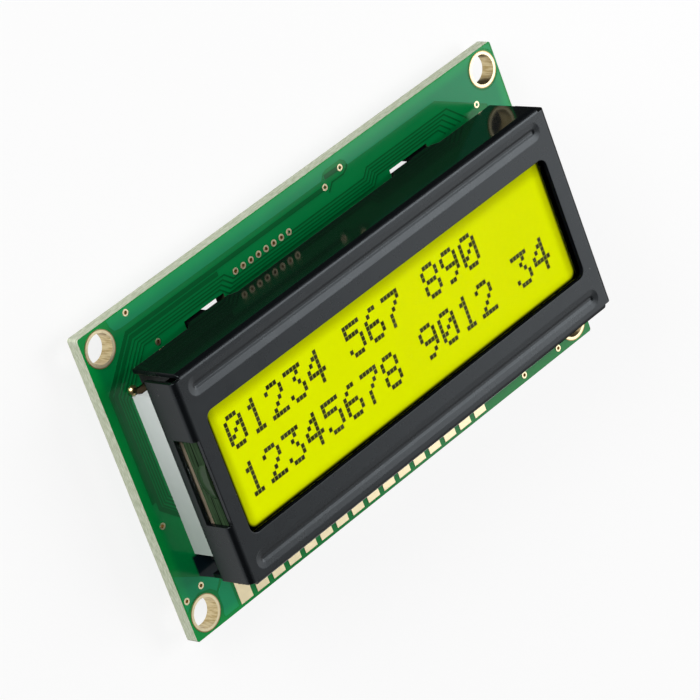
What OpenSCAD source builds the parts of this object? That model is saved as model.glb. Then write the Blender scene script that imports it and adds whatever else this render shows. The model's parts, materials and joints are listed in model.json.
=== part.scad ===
// Character LCD module, two rows of sixteen, lying on its back with the text facing up.
// X runs along the text, Y across it, Z out of the screen. The origin is under the middle
// of the board, on the plane of the four twisted bezel tabs that the module rests on.

/* [Circuit board] */
// Length of the board, along the text
board_l = 65; // [64:0.5:80]
// Width of the board, across the text
board_w = 36.3; // [36:0.1:44]
// Thickness of the board
board_t = 1.6; // [1:0.1:2]
// Radius of the board's corners
board_corner_r = 0.3; // [0.2:0.1:1.5]
// Space between the board's back and the plane that the bezel tabs rest on
back_clearance = 1.8; // [1.7:0.1:3]
// Thickness of the copper, plating and solder finish on the board's faces
copper_t = 0.05; // [0.03:0.01:0.1]

/* [Mounting holes] */
// Distance of each mounting hole from the board's ends and sides
mount_inset = 2.3; // [2.3:0.1:2.5]
// Radius of the plated mounting hole
mount_hole_r = 1.65; // [1.2:0.05:1.7]
// Wall of the plated barrel in the mounting hole
mount_barrel_t = 0.1; // [0.05:0.01:0.15]
// Outer radius of the bare ring round the mounting hole
mount_ring_r = 2.05; // [1.9:0.05:2.2]

/* [Header] */
// Number of header pads
header_count = 16; // [14:1:16]
// Spacing of the header pads
header_pitch = 2.54; // [2:0.01:2.54]
// Distance of pad 1 from the board's left end
header_inset_x = 7.85; // [7:0.05:9]
// Distance of the row of header holes from the board's lower side
header_inset_y = 2.9; // [2.5:0.1:3.2]
// Width of a header pad
header_pad_w = 1.8; // [1.5:0.05:1.9]
// Length of a header pad
header_pad_l = 4.2; // [3.4:0.1:4.4]
// Distance of the pads' outer ends from the board's lower side
header_pad_margin = 0.37; // [0.2:0.01:0.6]
// Radius of a header hole
header_hole_r = 0.5; // [0.4:0.05:0.55]
// Wall of the plated barrels in the header holes and vias
barrel_t = 0.05; // [0.03:0.01:0.08]

/* [Vias] */
// Radius of a via's drilled hole
via_hole_r = 0.2; // [0.15:0.01:0.25]
// Radius of a via's bare ring
via_ring_r = 0.38; // [0.35:0.01:0.45]
// Spacing of the row of eight vias
via_pitch = 1.19; // [1:0.01:1.4]
// Number of vias in the row
via_row_count = 8; // [4:1:10]

/* [Bezel] */
// Length of the sheet steel bezel
bezel_l = 59; // [58.6:0.1:59.4]
// Width of the bezel
bezel_w = 25; // [24.8:0.1:25.6]
// Thickness of the bezel's sheet
sheet_t = 0.5; // [0.3:0.05:0.6]
// Outside radius of the bezel's folds
bend_r = 0.7; // [0.65:0.05:1.2]
// Face of the bezel left at each end of the window
window_end_rim = 2.45; // [2.3:0.05:4]
// Face of the bezel left at each side of the window
window_side_rim = 5.2; // [4.8:0.05:5.8]
// How far the window sits below the middle of the bezel
window_drop = 0.15; // [0:0.05:0.3]
// Radius of the window's corners
window_corner_r = 1; // [0.4:0.1:2]
// Space between the bezel's long walls and the board
long_wall_gap = 1.3; // [1:0.1:2]
// How far the long walls stop short of the bezel's ends
long_wall_setback = 1.1; // [0.9:0.1:1.6]
// Space between the bezel's end walls and the board
end_wall_gap = 4; // [2:0.1:4.4]
// How far the end walls stop short of the bezel's sides
end_wall_setback = 0.6; // [0.5:0.1:1.2]
// Width of the opening through the end wall beside the cell's plug
end_opening_w = 10.1; // [6:0.1:12]
// Height of the end opening's sill above the end wall's lower edge
end_opening_sill = 1; // [0.5:0.1:1.2]
// How far the end opening is cut into the bezel's face, past the thickness of the end wall
end_opening_face_cut = 0.1; // [0.05:0.05:0.3]

/* [Stiffening beads] */
// Distance of the ends of a bead's channel from the bezel's ends
bead_end_inset = 2.4; // [2.2:0.1:9]
// Width of a bead at the face of the bezel, over its gentle shoulders
bead_w = 2.2; // [1.6:0.1:2.4]
// Width of a bead's steeper channel between the shoulders
bead_channel_w = 0.8; // [0.6:0.05:1.2]
// Width of a bead's flat floor
bead_floor_w = 0.3; // [0.2:0.05:0.5]
// Distance of a bead's centre line from the bezel's long side
bead_inset = 2.2; // [2:0.1:2.8]
// Extra width of a bead on the inside of the sheet
bead_back_extra = 0.3; // [0.1:0.05:0.4]

/* [Bezel tabs] */
// Distance of each tab slot's middle from the middle of the board
slot_x = 16.2; // [10:0.1:20]
// Length of a tab slot
slot_l = 6; // [5:0.1:7]
// Width of a tab slot
slot_w = 1.2; // [0.9:0.05:1.3]
// Clearance outside a tab in its slot
slot_clearance = 0.2; // [0.1:0.05:0.3]
// Width of a tab's tongue
tongue_w = 2.6; // [2:0.1:3.5]
// Clearance between a tongue and the end of its slot
tongue_end_clearance = 0.25; // [0.1:0.05:0.5]
// Height of the skirt that carries a tongue
skirt_h = 0.7; // [0.4:0.1:0.9]
// Slope of the skirt's ends, measured along the wall
skirt_slope = 0.8; // [0.3:0.1:1.2]
// Angle that a tongue is twisted through behind the board
tongue_twist = 40; // [20:5:60]

/* [LCD cell] */
// Clearance between the glass plates' ends and the bezel's end walls
glass_end_clearance = 0.2; // [0.1:0.05:0.6]
// Clearance between the front glass and the bezel's long walls
glass_side_clearance = 0.2; // [0.1:0.05:0.5]
// Clearance between the rear glass and the contact strips
rear_glass_clearance = 0.3; // [0.1:0.05:0.6]
// Thickness of each glass plate
glass_t = 1.1; // [0.7:0.1:1.1]
// Thickness of the cell's perimeter seal
seal_t = 0.05; // [0.03:0.01:0.1]
// Width of the cell's perimeter seal
seal_w = 1; // [0.6:0.1:1.2]
// Distance of the perimeter seal from the rear glass's edge
seal_margin = 0.4; // [0.2:0.1:0.8]
// Width of the filling port left in the seal
fill_port_w = 3; // [1.5:0.1:4]
// Radius of the resin plug over the filling port
plug_r = 2.1; // [1.6:0.1:2.4]
// How far the resin plug stands out of the glass edge
plug_bulge = 0.3; // [0.15:0.05:0.35]
// Thickness of a polarising film
polariser_t = 0.2; // [0.15:0.01:0.3]
// Margin of the front polariser round the window
polariser_overlap = 1.1; // [0.6:0.1:1.5]
// Margin left round the rear films on the rear glass
rear_film_margin = 0.5; // [0.3:0.1:1]
// Thickness of the diffuser film
diffuser_t = 0.25; // [0.1:0.05:0.4]
// Air left between stacked optical layers
film_gap = 0.02; // [0.01:0.01:0.04]

/* [Backlight] */
// Clearance between the white frame's ends and the bezel's end walls
frame_end_clearance = 0.3; // [0.2:0.05:0.8]
// Clearance between the white frame and the contact strips
frame_side_clearance = 0.15; // [0.1:0.01:0.2]
// Height of the backlight's white frame
frame_h = 4.9; // [3.5:0.1:6]
// Wall of the white frame at each end of its light well
frame_end_wall = 1.7; // [1.5:0.05:3.5]
// Wall of the white frame at each side of its light well
frame_side_wall = 2.05; // [1.85:0.05:3]
// Radius of the light well's corners
well_corner_r = 1.2; // [0.5:0.1:2]
// Wall left round the LED board under the frame
led_board_wall = 0.5; // [0.4:0.05:0.8]
// Thickness of the LED board
led_board_t = 0.8; // [0.6:0.1:1]
// Length of an LED package
led_l = 2; // [1.6:0.1:2.4]
// Width of an LED package
led_w = 1.25; // [1:0.05:1.6]
// Height of an LED package
led_h = 0.7; // [0.5:0.05:1]
// Number of LEDs in a row
led_count = 10; // [6:1:14]
// Spacing of the two rows of LEDs
led_row_gap = 7; // [5:0.1:9]
// Radius of a backlight pin
pin_r = 0.3; // [0.2:0.05:0.35]
// Clearance between a backlight pin and the frame
pin_clearance = 0.1; // [0.05:0.01:0.15]
// Length of a pin's arm on the LED board
pin_arm_l = 0.8; // [0.5:0.1:1.2]
// Width of a pin's arm
pin_arm_w = 0.9; // [0.6:0.1:1.2]
// Thickness of a pin's arm
pin_arm_t = 0.3; // [0.2:0.05:0.4]
// Length of a pin behind the board
pin_tail = 0.8; // [0.5:0.1:1.2]
// Radius of the solder round a backlight pin
pin_solder_r = 0.55; // [0.45:0.05:0.6]

/* [Contact strips] */
// Clearance between a contact strip's ends and the bezel's end walls
strip_end_clearance = 2; // [1.5:0.1:4]
// Width of an elastomer contact strip
strip_w = 1.6; // [1.2:0.1:1.6]
// Clearance between a contact strip and the bezel's long wall
strip_wall_clearance = 0.7; // [0.4:0.05:0.9]
// Number of contact fingers under each strip
finger_count = 48; // [40:1:52]
// Spacing of the contact fingers
finger_pitch = 1.1; // [0.9:0.01:1.1]
// Width of a contact finger
finger_w = 0.6; // [0.4:0.05:0.7]

/* [Back components] */
// Radius of a resin-capped chip
cap_r = 6.5; // [5:0.1:7]
// Height of a resin-capped chip
cap_h = 1.5; // [1:0.1:1.6]
// Height of the steep rim of a resin-capped chip
cap_rim_h = 0.3; // [0.2:0.05:0.5]
// Distance of each resin-capped chip from the middle
cap_x = 12.5; // [10:0.1:15]
// Length of a chip resistor or capacitor
chip_l = 2; // [1.6:0.1:2.2]
// Width of a chip resistor or capacitor
chip_w = 1.25; // [0.8:0.05:1.3]
// Height of a chip resistor
resistor_h = 0.5; // [0.3:0.05:0.6]
// Height of a chip capacitor
capacitor_h = 0.9; // [0.6:0.05:1.2]
// Length of a chip's end terminal
terminal_l = 0.35; // [0.2:0.05:0.5]
// Reach of the solder fillet beyond a chip's end
fillet_reach = 0.45; // [0.3:0.05:0.6]

/* [Hidden] */
// Steps used where a surface is drawn with short facets
twist_slices = 6;
plug_step = 15;
// Small overlap that lets a cut pass right through a face
past = 0.5;

// Widths and lengths inside the bezel, from its walls inwards
inner_l = bezel_l - 2 * sheet_t;
inner_w = bezel_w - 2 * sheet_t;
end_opening_reach = sheet_t + end_opening_face_cut;
glass_l = inner_l - 2 * glass_end_clearance;
front_glass_w = inner_w - 2 * glass_side_clearance;
strip_y = inner_w / 2 - strip_wall_clearance - strip_w / 2;
strip_inner_y = strip_y - strip_w / 2;
rear_glass_w = 2 * (strip_inner_y - rear_glass_clearance);
frame_l = inner_l - 2 * frame_end_clearance;
frame_w = 2 * (strip_inner_y - frame_side_clearance);
well_l = frame_l - 2 * frame_end_wall;
well_w = frame_w - 2 * frame_side_wall;
window_l = bezel_l - 2 * window_end_rim;
window_w = bezel_w - 2 * window_side_rim;
bead_l = bezel_l - 2 * bead_end_inset;
strip_l = inner_l - 2 * strip_end_clearance;

// Levels, from the rest plane up
board_back_z = back_clearance;
board_front_z = board_back_z + board_t;
frame_top_z = board_front_z + frame_h;
diffuser_z = frame_top_z + film_gap;
rear_polariser_z = diffuser_z + diffuser_t + film_gap;
rear_glass_z = rear_polariser_z + polariser_t + film_gap;
seal_z = rear_glass_z + glass_t;
front_glass_z = seal_z + seal_t;
front_glass_top_z = front_glass_z + glass_t;
front_polariser_z = front_glass_top_z + film_gap;
sheet_inner_z = front_polariser_z + polariser_t + film_gap;
bezel_top_z = sheet_inner_z + sheet_t;

// The beads reach down to the front glass, over the contact strips
bead_depth = sheet_inner_z - front_glass_top_z - film_gap;
bead_channel_depth = bead_depth / 2;
bead_y = bezel_w / 2 - bead_inset;

// Tab slots and tongues
wall_mid_y = bezel_w / 2 - sheet_t / 2;
slot_y = bezel_w / 2 + slot_clearance - slot_w / 2;
tongue_x = slot_x + slot_l / 2 - tongue_w / 2 - tongue_end_clearance;
long_wall_z = board_front_z + long_wall_gap;
skirt_z = long_wall_z - skirt_h;
twist_start_z = board_back_z;

// Mounting holes
mount_x = board_l / 2 - mount_inset;
mount_y = board_w / 2 - mount_inset;

// Header
header_x = -board_l / 2 + header_inset_x;
header_y = -board_w / 2 + header_inset_y;
header_pad_y = -board_w / 2 + header_pad_margin + header_pad_l / 2;

// Vias: the row of eight, then single ones, each a place measured from the board's edges
via_row_x = 21.75;
via_row_y = 4.25;
via_row = [for (i = [0 : via_row_count - 1])
    [-board_l / 2 + via_row_x + i * via_pitch, board_w / 2 - via_row_y]];
via_left_top = [[6.85, 0.65], [9.3, 5.5], [36.65, 2.55], [39.45, 1.7], [60.25, 5.3]];
via_left_bottom = [[1.3, 13.5], [3, 5.2], [0.6, 4.75], [53.65, 0.8], [59.55, 0.8]];
via_single = concat(
    [for (v = via_left_top) [-board_l / 2 + v[0], board_w / 2 - v[1]]],
    [for (v = via_left_bottom) [-board_l / 2 + v[0], -board_w / 2 + v[1]]]);
via_places = concat(via_row, via_single);

// Contact strips stand on the fingers and reach the front glass's ledges
strip_z = board_front_z + copper_t;
strip_h = front_glass_z - strip_z;

// Backlight
led_board_l = frame_l - 2 * led_board_wall;
led_board_w = frame_w - 2 * led_board_wall;
led_pitch = well_l / led_count;
pin_x = frame_l / 2 - pin_r;
pin_y = frame_w / 2 + pin_clearance + pin_r;
solder_relief_r = pin_solder_r + pin_clearance;
pin_arm_x = led_board_l / 2 - pin_arm_w;
pin_arm_z = board_front_z + led_board_t;
pin_arm_end_y = led_board_w / 2 - pin_arm_l;

// Back components: place and turn of each chip
resistor_places = [[-7, 9.5, 90], [-4.5, 9.5, 90], [-2, 9.5, 90], [0.5, 9.5, 90], [3, 9.5, 90],
    [27.5, 4, 90], [27.5, 0.5, 90]];
capacitor_places = [[-24.5, 4.5, 90], [-24.5, -2.5, 90], [0, -5.5, 0], [23.5, -5, 90]];

// ---- shared shapes ----

module each_corner(x, y) {
    for (sx = [-1, 1])
        for (sy = [-1, 1])
            translate([sx * x, sy * y, 0]) children();
}

module rounded_rect(l, w, r) {
    square([l - 2 * r, w], center = true);
    square([l, w - 2 * r], center = true);
    each_corner(l / 2 - r, w / 2 - r) circle(r = r, $fn = 48);
}

module rounded_plate(l, w, r, h) {
    linear_extrude(height = h) rounded_rect(l, w, r);
}

module centred_plate(l, w, h) {
    translate([-l / 2, -w / 2, 0]) cube([l, w, h]);
}

// A plated hole: a barrel through the board with a bare ring on both faces
module plated_hole(hole_r, wall, ring_r) {
    translate([0, 0, board_back_z])
        rotate_extrude($fn = 48)
            polygon([
                [hole_r, -copper_t], [ring_r, -copper_t], [ring_r, 0], [hole_r + wall, 0],
                [hole_r + wall, board_t], [ring_r, board_t], [ring_r, board_t + copper_t],
                [hole_r, board_t + copper_t]]);
}

// ---- circuit board ----

module board_hole(r) {
    translate([0, 0, board_back_z - past]) cylinder(h = board_t + 2 * past, r = r, $fn = 48);
}

module circuit_board() {
    color("seagreen")
        difference() {
            translate([0, 0, board_back_z])
                rounded_plate(board_l, board_w, board_corner_r, board_t);
            each_corner(mount_x, mount_y) board_hole(mount_hole_r + mount_barrel_t);
            for (i = [0 : header_count - 1])
                translate([header_x + i * header_pitch, header_y, 0])
                    board_hole(header_hole_r + barrel_t);
            for (v = via_places)
                translate([v[0], v[1], 0]) board_hole(via_hole_r + barrel_t);
            each_corner(slot_x, slot_y)
                translate([0, 0, board_back_z - past])
                    centred_plate(slot_l, slot_w, board_t + 2 * past);
            for (s = [-1, 1])
                translate([s * pin_x, pin_y, 0]) board_hole(pin_r);
        }
}

module mounting_rings() {
    color("palegoldenrod")
        each_corner(mount_x, mount_y)
            plated_hole(mount_hole_r, mount_barrel_t, mount_ring_r);
}

module via_rings() {
    color("palegoldenrod")
        for (v = via_places)
            translate([v[0], v[1], 0]) plated_hole(via_hole_r, barrel_t, via_ring_r);
}

module header_pads() {
    color("palegoldenrod")
        for (i = [0 : header_count - 1])
            translate([header_x + i * header_pitch, 0, 0])
                difference() {
                    union() {
                        for (z = [board_back_z - copper_t, board_front_z])
                            translate([0, header_pad_y, z])
                                centred_plate(header_pad_w, header_pad_l, copper_t);
                        translate([0, header_y, board_back_z])
                            cylinder(h = board_t, r = header_hole_r + barrel_t, $fn = 48);
                    }
                    translate([0, header_y, 0]) board_hole(header_hole_r);
                }
}

module contact_fingers() {
    color("palegoldenrod")
        for (s = [-1, 1])
            for (i = [0 : finger_count - 1])
                translate([(i - (finger_count - 1) / 2) * finger_pitch, s * strip_y, board_front_z])
                    centred_plate(finger_w, strip_w, copper_t);
}

// ---- bezel ----

// Section across a channel of sheet with two folded walls, face up
module channel_section(width, wall_z) {
    face_w = width - 2 * bend_r;
    bend_z = bezel_top_z - bend_r;
    difference() {
        union() {
            translate([-face_w / 2, wall_z]) square([face_w, bezel_top_z - wall_z]);
            translate([-width / 2, wall_z]) square([width, bend_z - wall_z]);
            for (s = [-1, 1])
                translate([s * face_w / 2, bend_z]) circle(r = bend_r, $fn = 64);
        }
        translate([-face_w / 2, wall_z - past])
            square([face_w, sheet_inner_z - wall_z + past]);
        translate([-width / 2 + sheet_t, wall_z - past])
            square([width - 2 * sheet_t, bend_z - wall_z + past]);
        for (s = [-1, 1])
            translate([s * face_w / 2, bend_z]) circle(r = bend_r - sheet_t, $fn = 64);
    }
}

module long_walls() {
    rotate([90, 0, 90])
        linear_extrude(height = bezel_l - 2 * long_wall_setback, center = true)
            channel_section(bezel_w, long_wall_z);
}

module end_walls() {
    rotate([90, 0, 0])
        linear_extrude(height = bezel_w - 2 * end_wall_setback, center = true)
            channel_section(bezel_l, board_front_z + end_wall_gap);
}

// A trough with sloping sides and round ends, its floor at z = 0
module bead_form(extra) {
    run = bead_l - bead_channel_w;
    floor_half = (bead_floor_w + extra) / 2;
    channel_half = (bead_channel_w + extra) / 2;
    face_half = (bead_w + extra) / 2;
    rotate([90, 0, 90])
        linear_extrude(height = run, center = true)
            polygon([
                [-floor_half, 0], [floor_half, 0], [channel_half, bead_channel_depth],
                [face_half, bead_depth], [-face_half, bead_depth],
                [-channel_half, bead_channel_depth]]);
    for (s = [-1, 1])
        translate([s * run / 2, 0, 0]) {
            cylinder(h = bead_channel_depth, r1 = floor_half, r2 = channel_half, $fn = 48);
            translate([0, 0, bead_channel_depth])
                cylinder(
                    h = bead_depth - bead_channel_depth, r1 = channel_half, r2 = face_half, $fn = 48);
        }
}

// The skirt below a long wall, its tongue through the slot, and the twisted end behind the board
module tab() {
    skirt_half = slot_l / 2;
    translate([slot_x, bezel_w / 2, 0])
        rotate([90, 0, 0])
            linear_extrude(height = sheet_t)
                polygon([
                    [-skirt_half, skirt_z], [skirt_half, skirt_z],
                    [skirt_half + skirt_slope, long_wall_z], [-skirt_half - skirt_slope, long_wall_z]]);
    translate([tongue_x, wall_mid_y, twist_start_z])
        centred_plate(tongue_w, sheet_t, skirt_z - twist_start_z);
    translate([tongue_x, wall_mid_y, twist_start_z])
        mirror([0, 0, 1])
            linear_extrude(height = twist_start_z, twist = tongue_twist, slices = twist_slices)
                square([tongue_w, sheet_t], center = true);
}

module bezel() {
    color("darkslategray")
        difference() {
            union() {
                long_walls();
                end_walls();
                for (s = [-1, 1])
                    translate([0, s * bead_y, sheet_inner_z - bead_depth])
                        bead_form(bead_back_extra);
                tab();
                mirror([1, 0, 0]) tab();
                mirror([0, 1, 0]) tab();
                mirror([1, 0, 0]) mirror([0, 1, 0]) tab();
            }
            translate([0, -window_drop, sheet_inner_z - past])
                rounded_plate(window_l, window_w, window_corner_r, sheet_t + 2 * past);
            for (s = [-1, 1])
                translate([0, s * bead_y, bezel_top_z - bead_depth])
                    bead_form(0);
            translate([
                end_opening_reach / 2 - past / 2 - bezel_l / 2, 0,
                board_front_z + end_wall_gap + end_opening_sill])
                centred_plate(end_opening_reach + past, end_opening_w, bezel_top_z);
        }
}

// ---- LCD cell ----

module front_polariser() {
    color("khaki", 0.5)
        translate([0, -window_drop, front_polariser_z])
            centred_plate(window_l + 2 * polariser_overlap, window_w + 2 * polariser_overlap, polariser_t);
}

module front_glass() {
    color("lightcyan", 0.5)
        translate([0, 0, front_glass_z]) centred_plate(glass_l, front_glass_w, glass_t);
}

module cell_seal() {
    outer_l = glass_l - 2 * seal_margin;
    outer_w = rear_glass_w - 2 * seal_margin;
    color("dimgray")
        translate([0, 0, seal_z])
            difference() {
                centred_plate(outer_l, outer_w, seal_t);
                translate([0, 0, -past])
                    centred_plate(outer_l - 2 * seal_w, outer_w - 2 * seal_w, seal_t + 2 * past);
                translate([-outer_l / 2, 0, -past])
                    centred_plate(2 * seal_w + 2 * past, fill_port_w, seal_t + 2 * past);
            }
}

// A low drop of resin on the left glass edge, over the filling port, its rim round and its
// crown falling away in short cones
module end_plug() {
    plug_h = front_glass_top_z - rear_glass_z;
    crown = [for (a = [0 : plug_step : 90]) [plug_r * cos(a), plug_bulge * sin(a)]];
    color("olivedrab")
        intersection() {
            translate([-glass_l / 2, 0, front_glass_top_z])
                rotate([0, -90, 0])
                    rotate_extrude($fn = 96) polygon(concat([[0, 0]], crown));
            translate([-glass_l / 2 - plug_bulge, -plug_r, rear_glass_z])
                cube([plug_bulge, 2 * plug_r, plug_h]);
        }
}

module rear_glass() {
    color("lightcyan", 0.5)
        translate([0, 0, rear_glass_z]) centred_plate(glass_l, rear_glass_w, glass_t);
}

module rear_polariser() {
    color("yellowgreen")
        translate([0, 0, rear_polariser_z])
            centred_plate(glass_l - 2 * rear_film_margin, rear_glass_w - 2 * rear_film_margin, polariser_t);
}

module diffuser_film() {
    color("beige")
        translate([0, 0, diffuser_z])
            centred_plate(glass_l - 2 * rear_film_margin, rear_glass_w - 2 * rear_film_margin, diffuser_t);
}

module contact_strip(side) {
    translate([0, side * strip_y, strip_z]) centred_plate(strip_l, strip_w, strip_h);
}

module upper_contact_strip() {
    color("darkgray") contact_strip(1);
}

module lower_contact_strip() {
    color("darkgray") contact_strip(-1);
}

// ---- backlight ----

// A white frame: recess for the LED board below, light well above, corners open for the pins
module backlight_frame() {
    notch_l = pin_arm_w + 2 * pin_clearance;
    notch_w = frame_w / 2 - pin_arm_end_y + pin_clearance;
    color("whitesmoke")
        translate([0, 0, board_front_z])
            difference() {
                centred_plate(frame_l, frame_w, frame_h);
                translate([0, 0, -past]) centred_plate(led_board_l, led_board_w, led_board_t + past);
                translate([0, 0, -past])
                    rounded_plate(well_l, well_w, well_corner_r, frame_h + 2 * past);
                for (s = [0, 1])
                    mirror([s, 0, 0])
                        translate([pin_arm_x - pin_clearance, frame_w / 2 - notch_w, -past])
                            cube([
                                notch_l, notch_w + past,
                                led_board_t + pin_arm_t + pin_clearance + past]);
                for (s = [-1, 1])
                    translate([s * pin_x, pin_y, -past])
                        cylinder(h = solder_relief_r + past, r = solder_relief_r, $fn = 48);
            }
}

module backlight_board() {
    color("ivory")
        translate([0, 0, board_front_z]) centred_plate(led_board_l, led_board_w, led_board_t);
}

module backlight_leds() {
    color("gold")
        for (s = [-1, 1])
            for (i = [0 : led_count - 1])
                translate([
                    (i - (led_count - 1) / 2) * led_pitch, s * led_row_gap / 2,
                    board_front_z + led_board_t])
                    centred_plate(led_l, led_w, led_h);
}

// A round pin through the board, with a flat arm that turns in to lie on the LED board
module backlight_pins() {
    pin_foot_z = board_back_z - pin_tail;
    color("gold")
        for (s = [0, 1])
            mirror([s, 0, 0]) {
                translate([pin_x, pin_y, pin_foot_z])
                    cylinder(h = pin_arm_z + pin_arm_t - pin_foot_z, r = pin_r, $fn = 32);
                translate([pin_arm_x, pin_y - pin_r, pin_arm_z])
                    cube([pin_x - pin_arm_x, 2 * pin_r, pin_arm_t]);
                translate([pin_arm_x, pin_arm_end_y, pin_arm_z])
                    cube([pin_arm_w, pin_y - pin_arm_end_y, pin_arm_t]);
            }
}

module solder_dome(r) {
    difference() {
        intersection() {
            sphere(r = r, $fn = 48);
            translate([0, 0, r / 2]) cube([2 * r, 2 * r, r], center = true);
        }
        translate([0, 0, -past]) cylinder(h = r + 2 * past, r = pin_r, $fn = 32);
    }
}

module pin_solder() {
    color("goldenrod")
        for (s = [-1, 1])
            translate([s * pin_x, pin_y, 0]) {
                translate([0, 0, board_front_z]) solder_dome(pin_solder_r);
                translate([0, 0, board_back_z]) mirror([0, 0, 1]) solder_dome(pin_solder_r);
            }
}

// ---- back of the board ----

// A drop of black resin over a bare chip: a steep rim, then a shallow dome
module resin_cap() {
    dome_h = cap_h - cap_rim_h;
    dome_r = (cap_r * cap_r + dome_h * dome_h) / (2 * dome_h);
    translate([0, 0, board_back_z])
        mirror([0, 0, 1]) {
            cylinder(h = cap_rim_h, r = cap_r, $fn = 96);
            translate([0, 0, cap_rim_h])
                intersection() {
                    translate([0, 0, dome_h - dome_r]) sphere(r = dome_r, $fn = 200);
                    cylinder(h = dome_h, r = cap_r, $fn = 96);
                }
        }
}

module controller_cap() {
    color("#202020") translate([-cap_x, 0, 0]) resin_cap();
}

module driver_cap() {
    color("#202020") translate([cap_x, 0, 0]) resin_cap();
}

// Puts its children under the board's back at each place, turned, with Z pointing away from it
module on_back(places) {
    for (p = places)
        translate([p[0], p[1], board_back_z])
            mirror([0, 0, 1])
                rotate([0, 0, p[2]]) children();
}

module chip_resistors() {
    color("#303030") on_back(resistor_places) centred_plate(chip_l - 2 * terminal_l, chip_w, resistor_h);
}

module chip_capacitors() {
    color("peru") on_back(capacitor_places) centred_plate(chip_l - 2 * terminal_l, chip_w, capacitor_h);
}

module terminal_pair(h) {
    for (s = [-1, 1])
        translate([s * (chip_l - terminal_l) / 2, 0, 0]) centred_plate(terminal_l, chip_w, h);
}

module chip_terminals() {
    color("silver") {
        on_back(resistor_places) terminal_pair(resistor_h);
        on_back(capacitor_places) terminal_pair(capacitor_h);
    }
}

module fillet_pair(h) {
    for (s = [0, 1])
        mirror([s, 0, 0])
            translate([chip_l / 2, chip_w / 2, 0])
                rotate([90, 0, 0])
                    linear_extrude(height = chip_w)
                        polygon([[0, 0], [fillet_reach, 0], [0, h]]);
}

module chip_solder() {
    color("lightgray") {
        on_back(resistor_places) fillet_pair(resistor_h);
        on_back(capacitor_places) fillet_pair(capacitor_h);
    }
}

circuit_board();
mounting_rings();
header_pads();
via_rings();
contact_fingers();
bezel();
front_polariser();
front_glass();
cell_seal();
end_plug();
rear_glass();
rear_polariser();
diffuser_film();
upper_contact_strip();
lower_contact_strip();
backlight_frame();
backlight_board();
backlight_leds();
backlight_pins();
pin_solder();
controller_cap();
driver_cap();
chip_resistors();
chip_capacitors();
chip_terminals();
chip_solder();
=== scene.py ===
# %% [markdown]
# # A character display module
# The object is a small liquid-crystal display: a folded steel bezel holds two glass
# plates over a backlight, and clamps them to a green circuit board. Its solids come
# ready made from the CAD model. This lesson gives them their finishes, adds what a
# solid model leaves out (copper tracks, printed dots), and lights them for a picture.
# Everything is in metres, in the CAD model's own frame: the module lies on its back,
# X runs along the text, Y across it and Z out of the screen.

# %% Load the frame
import json
import math
import bpy
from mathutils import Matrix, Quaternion, Vector


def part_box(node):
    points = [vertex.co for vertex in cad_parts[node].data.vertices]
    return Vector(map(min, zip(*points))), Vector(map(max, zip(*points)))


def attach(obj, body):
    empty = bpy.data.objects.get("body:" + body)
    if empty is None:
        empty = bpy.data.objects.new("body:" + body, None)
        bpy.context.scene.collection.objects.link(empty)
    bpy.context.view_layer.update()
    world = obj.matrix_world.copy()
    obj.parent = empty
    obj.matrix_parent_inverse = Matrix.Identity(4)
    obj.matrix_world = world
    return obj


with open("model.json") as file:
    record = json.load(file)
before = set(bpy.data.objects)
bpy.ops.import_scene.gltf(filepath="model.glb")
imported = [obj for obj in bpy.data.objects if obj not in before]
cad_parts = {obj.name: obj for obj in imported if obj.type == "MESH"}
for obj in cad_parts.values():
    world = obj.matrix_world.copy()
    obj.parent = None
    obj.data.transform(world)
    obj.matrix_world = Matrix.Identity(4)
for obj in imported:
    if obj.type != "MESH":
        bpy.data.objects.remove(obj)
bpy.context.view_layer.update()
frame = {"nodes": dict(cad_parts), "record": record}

nodes = frame["nodes"]
print("pieces from the CAD model:", len(nodes))

# %% [markdown]
# ## Sizes
# Blender counts in metres, and a circuit is laid out in millimetres, so one factor
# turns the second into the first. Levels come from the frame's own boxes, so that what
# is added always sits on what carries it.

# %% Levels that the added pieces sit on
MM = 0.001


def low(node):
    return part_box(node)[0]


def high(node):
    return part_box(node)[1]


board_low, board_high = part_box("circuit_board")
WINDOW_X, WINDOW_Y = 27.05, 7.3      # half length and half width of the bezel's window
WINDOW_DROP = 0.15                   # how far its middle lies below the board's
MOUNT_X, MOUNT_Y = 30.2, 15.85       # the mounting holes' middles
print("board, mm:", [round(v / MM, 2) for v in board_high - board_low])

# %% [markdown]
# ## The camera
# A long lens from far away keeps the edges of such a small product almost parallel.
# The camera is aimed at a point and then rolled about its own axis, which says more
# about a picture than three bare angles would.

# %% Make the camera
camera_place = Vector((-278.929, 190.501, 362.606)) * MM
camera_aim = Vector((-0.3245, -1.6513, 3.4)) * MM
camera_roll = math.radians(96.0115)

camera_data = bpy.data.cameras.new("camera")
camera_data.sensor_width = 36.0
camera_data.lens = 239.155
camera_data.clip_start = 0.01
camera = bpy.data.objects.new("camera", camera_data)
bpy.context.scene.collection.objects.link(camera)
aim = (camera_aim - camera_place).to_track_quat("-Z", "Y")
camera.rotation_mode = "QUATERNION"
camera.rotation_quaternion = aim @ Quaternion((0, 0, 1), camera_roll)
camera.location = camera_place
bpy.context.scene.camera = camera
print("camera distance, mm:", round((camera_aim - camera_place).length / MM, 1))

# %% [markdown]
# ## Helpers for node trees
# A node tree reads like a recipe: place a node, set what is constant, and link the
# rest. One small function does all three, so each material stays a few lines long.

# %% Place a node, set its values and link its inputs
def place(tree, kind, inputs=None, **settings):
    """Adds a node. An input given as a socket is linked, any other is a constant."""
    node = tree.nodes.new(kind)
    for key, value in settings.items():
        setattr(node, key, value)
    for key, value in (inputs or {}).items():
        if isinstance(value, bpy.types.NodeSocket):
            tree.links.new(value, node.inputs[key])
        else:
            node.inputs[key].default_value = value
    return node


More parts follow.
